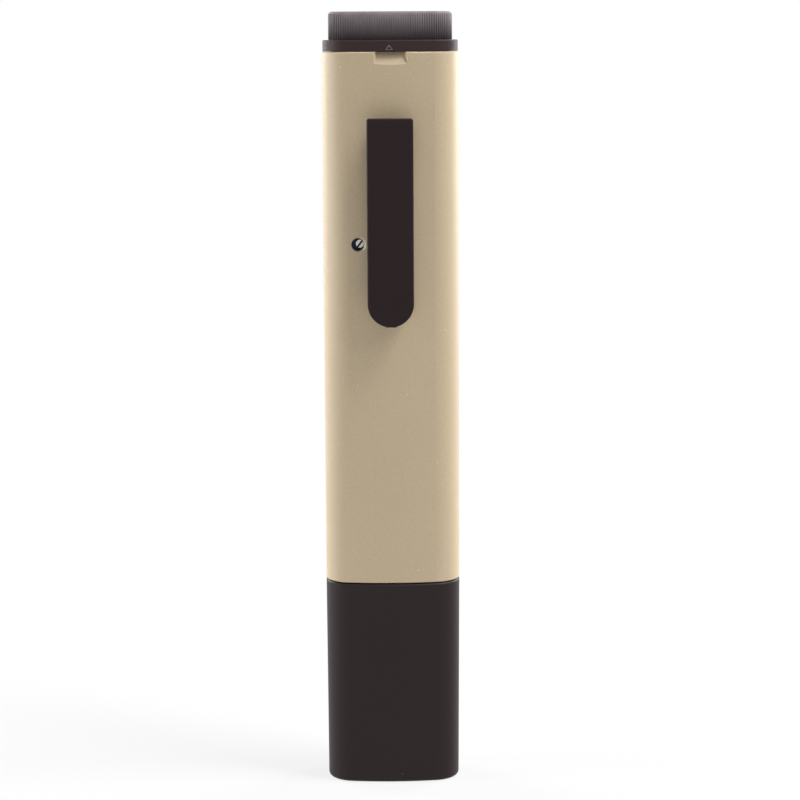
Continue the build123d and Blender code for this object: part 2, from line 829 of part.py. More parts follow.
# Button caps and the plungers that they push: a crowned key with a flange behind the shell's wall
flange_front = broad_face(button_radius + button_flange, shell_wall) - slide_gap
button_rear = plunger_front + seat_gap
button_top = front_face + button_rise
button_names = ("power", "hold", "unit")
for name, z in zip(button_names, button_levels):
    key_foot = Plane((0, button_rear, z), x_dir=(1, 0, 0), z_dir=(0, 1, 0))
    flange_end = flange_front - button_rear
    key_end = button_top - button_rear
    with BuildPart() as key:
        turned(
            key_foot,
            [
                (plunger_radius, 0),
                (plunger_radius, flange_end - button_flange_thickness),
                (button_radius + button_flange, flange_end - button_flange_thickness),
                (button_radius + button_flange, flange_end),
                (button_radius, flange_end),
                (button_radius, key_end),
            ],
        )
        fillet(key.faces().sort_by(Axis.Y)[-1].edges(), button_crown)
    key.part.label = f"{name}_button"
    export_step(key.part, f"parts/{name}_button.step")
    with BuildPart() as plunger:
        plunger_foot = Plane((0, plunger_rear, z), x_dir=(1, 0, 0), z_dir=(0, 1, 0))
        turned(plunger_foot, [(plunger_radius, 0), (plunger_radius, plunger_length)])
    plunger.part.label = f"{name}_plunger"
    export_step(plunger.part, f"parts/{name}_plunger.step")

# Trimmer: a square base on the board, and a slotted screw that turns in it
trimmer_face = board_rear - trimmer_height
with BuildPart() as trimmer_base:
    with Locations((trimmer_x, board_rear, hole_z)):
        Box(
            trimmer_side,
            trimmer_height,
            trimmer_side,
            align=(Align.CENTER, Align.MAX, Align.CENTER),
        )
    fillet(trimmer_base.edges().filter_by(Axis.Y), smallest_round)
    with BuildSketch(facing(trimmer_face + screw_shaft_depth)):
        with Locations((trimmer_x, hole_z)):
            Circle(screw_shaft_radius + seat_gap)
    extrude(amount=screw_shaft_depth, mode=Mode.SUBTRACT)
trimmer_base.part.label = "trimmer_base"
export_step(trimmer_base.part, "parts/trimmer_base.step")

head_rear = trimmer_face - seat_gap
with BuildPart() as trimmer_screw:
    with BuildSketch(facing(trimmer_face + screw_shaft_depth - seat_gap)):
        with Locations((trimmer_x, hole_z)):
            Circle(screw_shaft_radius)
    extrude(amount=screw_shaft_depth)
    with BuildSketch(facing(head_rear)):
        with Locations((trimmer_x, hole_z)):
            Circle(screw_radius)
    extrude(amount=screw_rise)
    chamfer(trimmer_screw.faces().sort_by(Axis.Y)[0].edges(), screw_edge)
    with BuildSketch(facing(head_rear - screw_rise / 2)):
        with Locations(Location((trimmer_x, hole_z, 0), (0, 0, screw_slot_angle))):
            Rectangle(3 * screw_radius, screw_slot)
    extrude(amount=screw_rise, mode=Mode.SUBTRACT)
trimmer_screw.part.label = "trimmer_screw"
export_step(trimmer_screw.part, "parts/trimmer_screw.step")

# Probe housing: the shells close round its groove, the cap slides over its neck,
# and its open guard keeps knocks off the electrodes
collar_inset = shell_wall + fit_gap
groove_inset = shell_wall + end_reach + fit_gap
neck_inset = cap_wall + cap_draft + slide_gap
gasket_top = gasket_bottom + gasket_height
wiring_inset = groove_inset + housing_wall
with BuildPart() as probe_housing:
    pen_block(neck_bottom, body_bottom - fit_gap, neck_inset)
    chamfer(probe_housing.faces().sort_by(Axis.Z)[0].edges(), neck_lead_in)
    pen_block(body_bottom - fit_gap, collar_bottom, groove_inset)
    pen_block(collar_bottom, gasket_bottom, collar_inset)
    pen_block(gasket_bottom, gasket_top, collar_inset + gasket_depth)
    pen_block(gasket_top, collar_top, collar_inset)
    pen_block(guard_bottom, neck_bottom, guard_inset)
    fillet(probe_housing.faces().sort_by(Axis.Z)[0].edges(), guard_edge_radius)
    pen_block(guard_bottom, neck_bottom, guard_inset + guard_wall, Mode.SUBTRACT)
    pen_block(probe_floor_top, collar_top, wiring_inset, Mode.SUBTRACT)
    with BuildSketch(facing(front_face)):
        with Locations((0, guard_bottom)):
            SlotCenterToCenter(
                2 * guard_window_height - guard_window_width, guard_window_width, rotation=90
            )
    extrude(amount=body_depth, mode=Mode.SUBTRACT)
    with BuildSketch(Plane.XY.offset(neck_bottom)):
        with Locations((-pin_x, pin_y), (pin_x, pin_y)):
            Circle(pin_radius + bore_gap)
    extrude(amount=probe_floor, mode=Mode.SUBTRACT)
    with BuildSketch(Plane.XY.offset(probe_floor_top - pin_seal_pocket)):
        with Locations((-pin_x, pin_y), (pin_x, pin_y)):
            Circle(pin_radius + pin_seal_section + fit_gap)
    extrude(amount=pin_seal_pocket, mode=Mode.SUBTRACT)
    with BuildSketch(Plane.XY.offset(probe_floor_top - sensor_depth - seat_gap)):
        with Locations((0, pin_y)):
            Circle(sensor_radius + seat_gap)
    extrude(amount=sensor_depth + seat_gap, mode=Mode.SUBTRACT)
probe_housing.part.label = "probe_housing"
export_step(probe_housing.part, "parts/probe_housing.step")

# Rubber seal round the probe housing's collar
with BuildPart() as neck_seal:
    pen_block(gasket_bottom + seat_gap, gasket_top - seat_gap, shell_wall + bore_gap)
    pen_block(gasket_bottom, gasket_top, collar_inset + gasket_depth - seat_gap, Mode.SUBTRACT)
neck_seal.part.label = "neck_seal"
export_step(neck_seal.part, "parts/neck_seal.step")

# Electrodes: round-nosed pins with a collar on the housing's floor and a tail up to the board
pin_tip = guard_bottom + pin_recess
pin_collar_top = probe_floor_top + pin_collar_height
tail_top = board_bottom + tail_overlap
for name, side in (("left_electrode", -1), ("right_electrode", 1)):
    pin_foot = Plane((side * pin_x, pin_y, 0), x_dir=(1, 0, 0), z_dir=(0, 0, 1))
    with BuildPart() as electrode:
        turned(
            pin_foot,
            [
                (pin_radius, pin_tip),
                (pin_radius, probe_floor_top),
                (pin_collar_radius, probe_floor_top),
                (pin_collar_radius, pin_collar_top),
                (tail_radius, pin_collar_top),
                (tail_radius, tail_top),
            ],
        )
        fillet(electrode.faces().sort_by(Axis.Z)[0].edges(), pin_nose)
    electrode.part.label = name
    export_step(electrode.part, f"parts/{name}.step")

for name, side in (("left_pin_seal", -1), ("right_pin_seal", 1)):
    section_radius = pin_seal_section / 2
    with BuildPart() as pin_seal:
        with Locations((side * pin_x, pin_y, probe_floor_top - pin_seal_pocket / 2)):
            Torus(pin_radius + bore_gap + section_radius, section_radius)
    pin_seal.part.label = name
    export_step(pin_seal.part, f"parts/{name}.step")

# Temperature sensor: a bead in the housing's floor, with two leads up to the board
sensor_lead_y = board_rear - sensor_lead_radius - seat_gap
with BuildPart() as temperature_sensor:
    with Locations((0, pin_y, probe_floor_top - sensor_depth)):
        Cylinder(
            sensor_radius, sensor_depth, align=(Align.CENTER, Align.CENTER, Align.MIN)
        )
    fillet(temperature_sensor.edges().filter_by(GeomType.CIRCLE), sensor_round)
    for side in (-1, 1):
        with Locations((side * sensor_lead_x, sensor_lead_y, probe_floor_top - sensor_depth / 2)):
            Cylinder(
                sensor_lead_radius,
                sensor_depth / 2 + board_rise + tail_overlap,
                align=(Align.CENTER, Align.CENTER, Align.MIN),
            )
temperature_sensor.part.label = "temperature_sensor"
export_step(temperature_sensor.part, "parts/temperature_sensor.step")
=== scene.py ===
# %% [markdown]
# # A conductivity tester pen, from a imported CAD frame
# The pen stands upright on its probe cap, with the pocket clip towards the camera. The CAD model gives
# every rigid piece its place and size in metres. This lesson sets up the camera, the white studio and
# the finishes, and models what the CAD solids only stand in for, such as the bending clip.

# %% Load the frame
from math import atan2, cos, exp, hypot, pi, radians, sin, sqrt

import bmesh
import bpy
from mathutils import Matrix, Vector


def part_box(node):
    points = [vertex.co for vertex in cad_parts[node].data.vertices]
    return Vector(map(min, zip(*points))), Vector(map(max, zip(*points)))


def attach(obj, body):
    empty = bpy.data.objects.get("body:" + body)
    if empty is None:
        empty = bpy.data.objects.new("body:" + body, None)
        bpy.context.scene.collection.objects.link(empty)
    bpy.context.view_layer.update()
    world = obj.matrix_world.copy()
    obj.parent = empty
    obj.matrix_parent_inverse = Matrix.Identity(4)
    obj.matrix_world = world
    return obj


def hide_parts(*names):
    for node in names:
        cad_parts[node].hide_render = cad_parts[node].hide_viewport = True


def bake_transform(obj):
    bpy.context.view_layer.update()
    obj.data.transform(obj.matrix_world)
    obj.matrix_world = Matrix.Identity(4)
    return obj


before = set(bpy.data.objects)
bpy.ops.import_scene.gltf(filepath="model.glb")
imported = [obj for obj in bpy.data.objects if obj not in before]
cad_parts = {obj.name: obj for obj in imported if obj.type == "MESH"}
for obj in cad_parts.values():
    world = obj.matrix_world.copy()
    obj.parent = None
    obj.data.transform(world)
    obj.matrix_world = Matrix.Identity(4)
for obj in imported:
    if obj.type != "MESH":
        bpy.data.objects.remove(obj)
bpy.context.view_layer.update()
scene = bpy.context.scene
mm = 0.001

# %% [markdown]
# ## Camera
# The photograph was taken from a little above the pen, with a long lens. Its edges gave the camera's
# place: 473 mm in front, 150 mm up, looking down by 8.75 degrees, with a slight turn and roll. The
# matrices are multiplied from the outermost, the place, to the innermost, the roll about the view axis.

# %% Place the camera
focal_pixels = 2371.0
picture_pixels = 800.0
sensor_mm = 36.0
camera_place = Vector((-5.8, -473.0, 150.4)) * mm
yaw, look_down, roll = -0.90, 8.75, -0.28
camera_data = bpy.data.cameras.new("studio_camera")
camera_data.sensor_width = sensor_mm
camera_data.lens = focal_pixels / picture_pixels * sensor_mm
camera_data.clip_start = 0.01
camera = bpy.data.objects.new("studio_camera", camera_data)
camera.matrix_world = (
    Matrix.Translation(camera_place)
    @ Matrix.Rotation(radians(yaw), 4, "Z")
    @ Matrix.Rotation(radians(90 - look_down), 4, "X")
    @ Matrix.Rotation(radians(roll), 4, "Z")
)
scene.collection.objects.link(camera)
scene.camera = camera
scene.view_settings.view_transform = "Standard"
print("lens in mm:", round(camera_data.lens, 1))

# %% [markdown]
# ## Colours and nodes
# Shaders work in linear light, and colours are picked from pictures in sRGB. One function turns a hex
# value to linear, and one adds a node with its settings and links, so that each material below reads
# as a short recipe.

# %% Two helpers
def linear(hex_colour):
    """The linear RGBA of an sRGB hex colour."""
    channels = [int(hex_colour[i : i + 2], 16) / 255 for i in (1, 3, 5)]
    return [c / 12.92 if c <= 0.04045 else ((c + 0.055) / 1.055) ** 2.4 for c in channels] + [1.0]


def add_node(tree, kind, settings=None, inputs=None):
    """Adds a node to a tree. Inputs are values, or output sockets to link from."""
    node = tree.nodes.new(kind)
    for name, value in (settings or {}).items():
        setattr(node, name, value)
    for name, value in (inputs or {}).items():
        if isinstance(value, bpy.types.NodeSocket):
            tree.links.new(value, node.inputs[name])
        else:
            node.inputs[name].default_value = value
    return node


def new_material(name):
    """An empty material with its node tree and an output."""
    material = bpy.data.materials.new(name)
    material.use_nodes = True
    material.node_tree.nodes.clear()
    return material, material.node_tree, add_node(material.node_tree, "ShaderNodeOutputMaterial")


print("helpers ready; mid grey in linear light:", round(linear("#808080")[0], 3))

# %% [markdown]
# ## White studio
# The pen was photographed on a seamless white sweep, which stays nearly white even in the shadows. The
# floor mixes a plain white surface, which takes the shadows, with a white that straight rays see as it
# is. So the shadows stay faint and no extra light falls on the pen. Away from the pen the share of that
# white grows to the whole, which hides where the floor ends. Metal and glass see the same white.

# %% Which rays see plain white
def straight_rays(tree):
    """A socket that is 1 for rays from the camera and for reflected and refracted rays."""
    light_path = add_node(tree, "ShaderNodeLightPath")
    mirrored = add_node(
        tree,
        "ShaderNodeMath",
        {"operation": "MAXIMUM"},
        {0: light_path.outputs["Is Glossy Ray"], 1: light_path.outputs["Is Transmission Ray"]},
    )
    seen = add_node(
        tree,
        "ShaderNodeMath",
        {"operation": "MAXIMUM"},
        {0: light_path.outputs["Is Camera Ray"], 1: mirrored.outputs[0]},
    )
    return seen.outputs[0]


# %% The floor
floor_mesh = bpy.data.meshes.new("studio_floor")
reach = 6.0
floor_mesh.from_pydata(
    [(-reach, -reach, 0), (reach, -reach, 0), (reach, reach, 0), (-reach, reach, 0)], [], [(0, 1, 2, 3)]
)
floor = bpy.data.objects.new("studio_floor", floor_mesh)
scene.collection.objects.link(floor)

near_white = 0.80
shadow_reach, plain_reach = 0.12, 0.60
paper, tree, output = new_material("white_paper_sweep")
place = add_node(tree, "ShaderNodeTexCoord").outputs["Object"]
distance = add_node(tree, "ShaderNodeVectorMath", {"operation": "LENGTH"}, {0: place})
plain_share = add_node(
    tree,
    "ShaderNodeMapRange",
    {"interpolation_type": "SMOOTHSTEP"},
    {
        "Value": distance.outputs["Value"],
        "From Min": shadow_reach,
        "From Max": plain_reach,
        "To Min": near_white,
        "To Max": 1.0,
    },
)
share = add_node(
    tree,
    "ShaderNodeMath",
    {"operation": "MULTIPLY"},
    {0: straight_rays(tree), 1: plain_share.outputs[0]},
)
surface = add_node(tree, "ShaderNodeBsdfDiffuse", inputs={"Color": linear("#d4d4d6")})
glow = add_node(tree, "ShaderNodeEmission", inputs={"Color": linear("#ffffff"), "Strength": 1.0})
mix = add_node(
    tree, "ShaderNodeMixShader", inputs={0: share.outputs[0], 1: surface.outputs[0], 2: glow.outputs[0]}
)
tree.links.new(mix.outputs[0], output.inputs["Surface"])
floor_mesh.materials.append(paper)
print("floor:", len(floor_mesh.polygons), "face")

# %% The room's light
world = bpy.data.worlds.new("white_room")
world.use_nodes = True
world_tree = world.node_tree
world_tree.nodes.clear()
world_output = add_node(world_tree, "ShaderNodeOutputWorld")
room_level = 0.12
room_light = add_node(
    world_tree, "ShaderNodeBackground", inputs={"Color": linear("#ffffff"), "Strength": room_level}
)
room_white = add_node(
    world_tree, "ShaderNodeBackground", inputs={"Color": linear("#ffffff"), "Strength": 1.0}
)
room = add_node(
    world_tree,
    "ShaderNodeMixShader",
    inputs={0: straight_rays(world_tree), 1: room_light.outputs[0], 2: room_white.outputs[0]},
)
world_tree.links.new(room.outputs[0], world_output.inputs["Surface"])
scene.world = world
print("room light:", room_level)

# %% [markdown]
# ## Lamps
# Five soft boxes stand round the pen. Two stand behind it, one on each side, and give the bright rims of
# the shells and caps. One on the left and two on the right and above light the near face, and the ones
# on the right are stronger, so the clip's shadow is deeper on its left. Their powers were found by
# least squares, from one picture for each lamp.


# %% The lamps
def add_lamp(name, place, aim, size, watts):
    """A square area lamp at a place, in metres, turned to face a point."""
    lamp_data = bpy.data.lights.new(name, "AREA")
    lamp_data.shape = "SQUARE"
    lamp_data.size = size
    lamp_data.energy = watts
    lamp = bpy.data.objects.new(name, lamp_data)
    lamp.location = place
    lamp.rotation_euler = (Vector(aim) - Vector(place)).to_track_quat("-Z", "Y").to_euler()
    scene.collection.objects.link(lamp)
    return lamp


middle = (0.0, 0.0, 0.08)
for name, place, size, watts in (
    ("left_lamp", (-0.80, -0.10, 0.25), 0.25, 3.5),
    ("left_rim_box", (-0.60, 0.50, 0.30), 0.40, 4.8),
    ("right_rim_box", (0.60, 0.50, 0.30), 0.40, 5.1),
    ("right_high_lamp", (0.55, -0.35, 0.60), 0.25, 1.3),
    ("top_right_box", (0.45, -0.15, 0.90), 0.30, 8.2),
):
    add_lamp(name, place, middle, size, watts)

# %% [markdown]
# ## Moulded plastics
# The shells, caps and clip are injection-moulded ABS. The mould was spark-eroded, which leaves a fine
# even grain on the plastic, so its shine is broad and weak. The colour drifts a little over a few
# centimetres, the grain shows as faint speckle, and use has left a few pale nicks. All patterns read
# Object coordinates, in metres, so a noise with cells of d millimetres has a scale of 1000 / d. Real
# grain is about 0.05 mm; it is drawn at 0.35 mm, because finer grain would not show in a picture.

# %% A moulded plastic
drift_mm = 22.0


def moulded_plastic(
    name, colour, drift_colour, roughness, grain_mm=0.35, relief_mm=0.012, shine=0.5, nick_colour=None
):
    """Moulded plastic: soft shine, fine grain, slow drift of colour, and nicks if they have a colour."""
    material, tree, output = new_material(name)
    place = add_node(tree, "ShaderNodeTexCoord").outputs["Object"]
    drift = add_node(
        tree, "ShaderNodeTexNoise", inputs={"Vector": place, "Scale": 1000 / drift_mm, "Detail": 3.0}
    )
    grain = add_node(
        tree,
        "ShaderNodeTexNoise",
        inputs={"Vector": place, "Scale": 1000 / grain_mm, "Detail": 4.0, "Roughness": 0.6},
    )
    base = add_node(
        tree,
        "ShaderNodeMix",
        {"data_type": "RGBA"},
        {"Factor": drift.outputs["Fac"], "A": linear(colour), "B": linear(drift_colour)},
    )
    speckle = add_node(
        tree,
        "ShaderNodeMapRange",
        inputs={
            "Value": grain.outputs["Fac"],
            "From Min": 0.3,
            "From Max": 0.7,
            "To Min": 0.94,
            "To Max": 1.06,
        },
    )
    tinted = add_node(
        tree,
        "ShaderNodeVectorMath",
        {"operation": "SCALE"},
        {0: base.outputs["Result"], "Scale": speckle.outputs[0]},
    )
    colour_socket = tinted.outputs[0]
    if nick_colour:
        colour_socket = add_nicks(tree, place, colour_socket, nick_colour)
    gloss = add_node(
        tree,
        "ShaderNodeMapRange",
        inputs={"Value": drift.outputs["Fac"], "To Min": roughness - 0.05, "To Max": roughness + 0.05},
    )
    relief = add_node(
        tree,
        "ShaderNodeBump",
        inputs={"Height": grain.outputs["Fac"], "Strength": 0.6, "Distance": relief_mm * mm},
    )
    shader = add_node(
        tree,
        "ShaderNodeBsdfPrincipled",
        inputs={
            "Base Color": colour_socket,
            "Roughness": gloss.outputs[0],
            "Normal": relief.outputs["Normal"],
            "IOR": 1.54,
            "Specular IOR Level": shine,
        },
    )
    tree.links.new(shader.outputs[0], output.inputs["Surface"])
    return material


# %% Nicks
nick_spacing = 5.0  # mm between the centres of the cells that nicks are picked from
nick_size = 0.17  # mm from a nick's middle to its rim
nick_wobble = 0.25 * mm


def add_nicks(tree, place, below, nick_colour):
    """Pale specks a third of a millimetre across, where the plastic has been knocked."""
    wobble = add_node(tree, "ShaderNodeTexNoise", inputs={"Vector": place, "Scale": 1000 / 0.3})
    shifted = add_node(
        tree,
        "ShaderNodeVectorMath",
        {"operation": "MULTIPLY_ADD"},
        {0: wobble.outputs["Color"], 1: (nick_wobble,) * 3, 2: place},
    )
    cells = add_node(
        tree, "ShaderNodeTexVoronoi", inputs={"Vector": shifted.outputs[0], "Scale": 1000 / nick_spacing}
    )
    mark = add_node(
        tree,
        "ShaderNodeMapRange",
        inputs={
            "Value": cells.outputs["Distance"],
            "From Min": 0.6 * nick_size / nick_spacing,
            "From Max": nick_size / nick_spacing,
            "To Min": 0.75,
            "To Max": 0.0,
        },
    )
    nicked = add_node(
        tree,
        "ShaderNodeMix",
        {"data_type": "RGBA"},
        {"Factor": mark.outputs[0], "A": below, "B": linear(nick_colour)},
    )
    return nicked.outputs["Result"]


# %% Dress the shells and caps
def dress(material, *nodes):
    """Gives CAD nodes a material, in the slots that they have."""
    for node in nodes:
        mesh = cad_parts[node].data
        mesh.materials.clear()
        mesh.materials.append(material)


def shader_of(material):
    """The main shader of a material."""
    return material.node_tree.nodes["Principled BSDF"]


# Sand-coloured ABS: a warm matt face that brightens softly at its round edges.
sand_abs = moulded_plastic("sand_abs", "#c4b190", "#cab798", 0.52, nick_colour="#f2e9d8")
# Brown ABS: nearly black from the front, with a grey sheen where it curves away.
brown_abs = moulded_plastic("brown_abs", "#1d1213", "#221617", 0.50, shine=0.22, nick_colour="#6e5f5c")
# The clip's ABS: the same brown with a redder, duller face.
clip_abs = moulded_plastic("clip_brown_abs", "#1b0d0e", "#200f11", 0.50, shine=0.18)
# Black ABS: a neutral dark grey, a little smoother than the outside.
black_abs = moulded_plastic("black_abs", "#1c1c1e", "#212123", 0.48, shine=0.3)
dress(sand_abs, "rear_shell", "front_shell")
dress(brown_abs, "probe_cap")
dress(black_abs, "lcd_holder", "battery_tray", "probe_housing")
print("plastics:", [m.name for m in bpy.data.materials if m.name.endswith("abs")])

# %% [markdown]
# ## The battery cap
# The cap is pulled out by its grip. The grip's ribs are painted grey as a painted sheen, and paler
# towards their upper ends as painted light from above, while the flange under them keeps its plain
# red-brown. The colour follows the height: the flange ends where the grip begins, 5.5 mm below the top.

# %% The cap's finish, with painted sheen and painted top light on the grip
grip_height = 5.5 * mm
cap_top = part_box("battery_cap")[1].z
grip_foot = cap_top - grip_height
# Brown ABS for the cap, whose grip gets a painted sheen that is paler upwards, as painted light from above.
painted_sheen_abs = moulded_plastic("brown_abs_painted_sheen", "#2e1f20", "#352526", 0.55, shine=0.2)
sheen_shader = shader_of(painted_sheen_abs)
tree = painted_sheen_abs.node_tree
place = add_node(tree, "ShaderNodeTexCoord").outputs["Object"]
height = add_node(tree, "ShaderNodeSeparateXYZ", inputs={0: place}).outputs["Z"]
# Painted light: the grip's colour grows paler with height, a painted highlight for light from above.
up_the_grip = add_node(
    tree,
    "ShaderNodeMapRange",
    inputs={"Value": height, "From Min": grip_foot, "From Max": cap_top - 0.3 * mm},
)
painted_top_light = add_node(tree, "ShaderNodeMath", {"operation": "POWER"}, {0: up_the_grip.outputs[0], 1: 1.5})
sheen_patches = add_node(tree, "ShaderNodeTexNoise", inputs={"Vector": place, "Scale": 1000 / 2.5, "Detail": 3.0})
patchy = add_node(
    tree,
    "ShaderNodeMapRange",
    inputs={
        "Value": sheen_patches.outputs["Fac"],
        "From Min": 0.3,
        "From Max": 0.7,
        "To Min": 0.8,
        "To Max": 1.2,
    },
)
painted_light_share = add_node(
    tree, "ShaderNodeMath", {"operation": "MULTIPLY"}, {0: painted_top_light.outputs[0], 1: patchy.outputs[0]}
)
# Painted sheen: the grip is painted grey, patchy, from dark at its foot to pale at its top.
grip_painted_sheen = add_node(
    tree,
    "ShaderNodeMix",
    {"data_type": "RGBA"},
    {"Factor": painted_light_share.outputs[0], "A": linear("#423a3c"), "B": linear("#8b8284")},
)
on_grip = add_node(
    tree, "ShaderNodeMath", {"operation": "GREATER_THAN"}, {0: height, 1: grip_foot + 0.02 * mm}
)
cap_colour = add_node(
    tree,
    "ShaderNodeMix",
    {"data_type": "RGBA"},
    {
        "Factor": on_grip.outputs[0],
        "A": sheen_shader.inputs["Base Color"].links[0].from_socket,
        "B": grip_painted_sheen.outputs["Result"],
    },
)
tree.links.new(cap_colour.outputs["Result"], sheen_shader.inputs["Base Color"])
dress(painted_sheen_abs, "battery_cap")
print("grip begins at", round(grip_foot / mm, 1), "mm")

# %% [markdown]
# ## Ribs round the grip
# The grip has fine upright ribs, 0.46 mm apart, with round crests and round ends. They repeat along the
# cap's outline, so Geometry Nodes place them: the outline is a closed curve, it is divided evenly, and a
# capsule stands at each point. The capsule is a low sphere whose upper half is lifted.

# %% The cap's outline
crown_radius, corner_radius = 60.0 * mm, 5.7 * mm
half_width, half_depth = 13.5 * mm, 8.0 * mm
corner_x = half_width - corner_radius
crown_y = half_depth - crown_radius
corner_y = crown_y + sqrt((crown_radius - corner_radius) ** 2 - corner_x**2)
tangent = atan2(corner_y - crown_y, corner_x)


def outline_point(turn, inset):
    """The point of the pen's cross-section whose normal points along an angle, drawn in by inset."""
    across, along = cos(turn), sin(turn)
    steep = atan2(abs(along), abs(across))
    sign_x, sign_y = (1 if across >= 0 else -1), (1 if along >= 0 else -1)
    if steep >= tangent:
        return (crown_radius - inset) * across, sign_y * crown_y + (crown_radius - inset) * along
    radius = corner_radius - inset
    return sign_x * corner_x + radius * across, sign_y * corner_y + radius * along


def outline_curve(name, inset, level):
    """A closed curve object round the pen's cross-section at a level."""
    curve = bpy.data.curves.new(name, "CURVE")
    curve.dimensions = "3D"
    corner_turns = [tangent * i / 24 for i in range(25)]
    crown_turns = [tangent + (pi - 2 * tangent) * i / 24 for i in range(1, 24)]
    quarter = corner_turns + crown_turns + [pi - t for t in reversed(corner_turns)]
    turns = quarter + [t + pi for t in quarter]
    points = [outline_point(t, inset) for t in turns]
    spline = curve.splines.new("POLY")
    spline.points.add(len(points) - 1)
    for point, (x, y) in zip(spline.points, points):
        point.co = (x, y, level, 1.0)
    spline.use_cyclic_u = True
    outline = bpy.data.objects.new(name, curve)
    scene.collection.objects.link(outline)
    return outline


rib_radius = 0.16 * mm
rib_height = 5.05 * mm
rib_proud = 0.09 * mm
rib_pitch = 0.46 * mm
rib_lift = 0.05 * mm
grip_inset = 1.4 * mm
rib_outline = outline_curve(
    "grip_ribs", grip_inset + rib_radius - rib_proud, grip_foot + rib_lift + rib_radius
)
outline_points = [point.co.xy for point in rib_outline.data.splines[0].points]
length = sum((b - a).length for a, b in zip(outline_points, outline_points[1:])) + 2 * corner_y
rib_count = 2 * round(length / rib_pitch / 2)
print("outline in mm:", round(length / mm, 1), "ribs:", rib_count)


# %% A tree that stands ribs along a curve
def rib_tree():
    """Geometry nodes: capsules along a curve, with inputs for their number, radius, height and finish."""
    tree = bpy.data.node_groups.new("ribs_along_outline", "GeometryNodeTree")
    tree.interface.new_socket("Outline", in_out="INPUT", socket_type="NodeSocketGeometry")
    for name, kind in (
        ("Rib Count", "NodeSocketInt"),
        ("Rib Radius", "NodeSocketFloat"),
        ("Rib Height", "NodeSocketFloat"),
        ("Finish", "NodeSocketMaterial"),
    ):
        tree.interface.new_socket(name, in_out="INPUT", socket_type=kind)
    tree.interface.new_socket("Ribs", in_out="OUTPUT", socket_type="NodeSocketGeometry")
    given = add_node(tree, "NodeGroupInput").outputs
    places = add_node(
        tree, "GeometryNodeResampleCurve", inputs={"Curve": given["Outline"], "Count": given["Rib Count"]}
    )
    ball = add_node(
        tree, "GeometryNodeMeshUVSphere", inputs={"Segments": 8, "Rings": 5, "Radius": given["Rib Radius"]}
    )
    position = add_node(tree, "GeometryNodeInputPosition")
    level = add_node(tree, "ShaderNodeSeparateXYZ", inputs={0: position.outputs[0]})
    upper = add_node(
        tree, "FunctionNodeCompare", {"operation": "GREATER_THAN"}, {0: level.outputs["Z"], 1: 0.0}
    )
    ends = add_node(tree, "ShaderNodeMath", {"operation": "MULTIPLY"}, {0: given["Rib Radius"], 1: 2.0})
    straight = add_node(
        tree, "ShaderNodeMath", {"operation": "SUBTRACT"}, {0: given["Rib Height"], 1: ends.outputs[0]}
    )
    lift = add_node(tree, "ShaderNodeCombineXYZ", inputs={"Z": straight.outputs[0]})
    capsule = add_node(
        tree,
        "GeometryNodeSetPosition",
        inputs={"Geometry": ball.outputs["Mesh"], "Selection": upper.outputs[0], "Offset": lift.outputs[0]},
    )
    standing = add_node(
        tree,
        "GeometryNodeInstanceOnPoints",
        inputs={"Points": places.outputs[0], "Instance": capsule.outputs[0]},
    )
    real = add_node(tree, "GeometryNodeRealizeInstances", inputs={0: standing.outputs[0]})
    smooth = add_node(tree, "GeometryNodeSetShadeSmooth", inputs={"Geometry": real.outputs[0]})
    finished = add_node(
        tree, "GeometryNodeSetMaterial", inputs={"Geometry": smooth.outputs[0], "Material": given["Finish"]}
    )
    add_node(tree, "NodeGroupOutput", inputs={"Ribs": finished.outputs[0]})
    return tree


# %% Run the tree and keep its mesh
def run_tree(source, tree, values, name):
    """Runs a node tree on an object and returns a plain mesh object with the result."""
    modifier = source.modifiers.new(name, "NODES")
    modifier.node_group = tree
    for item in tree.interface.items_tree:
        if item.item_type == "SOCKET" and item.name in values:
            modifier[item.identifier] = values[item.name]
    depsgraph = bpy.context.evaluated_depsgraph_get()
    mesh = bpy.data.meshes.new_from_object(source.evaluated_get(depsgraph))
    mesh.name = name
    bpy.data.objects.remove(source)
    piece = bpy.data.objects.new(name, mesh)
    scene.collection.objects.link(piece)
    return piece


ribs = run_tree(
    rib_outline,
    rib_tree(),
    {"Rib Count": rib_count, "Rib Radius": rib_radius, "Rib Height": rib_height, "Finish": painted_sheen_abs},
    "grip_ribs",
)
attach(ribs, "battery_unit")
print("ribs:", len(ribs.data.polygons), "faces")

# %% [markdown]
# ## The mark on the flange
# A small triangle is moulded on the flange, over the fingernail scoop, and shows which way round the cap
# goes in. It is a thin raised line, so it is a closed curve with a round bevel, bent to the flange's
# crowned face and turned into a mesh. Its crest is rubbed pale.

# %% The triangle
# Rubbed brown ABS: pale grey-brown, where the raised line is worn.
rubbed_abs = moulded_plastic("rubbed_brown_abs", "#9b8d8b", "#86797a", 0.45, shine=0.3)
flange_face = 0.18 * mm


def flange_front(x):
    """The y of the flange's face towards the camera at an x."""
    return -(crown_y + sqrt((crown_radius - flange_face) ** 2 - x**2))


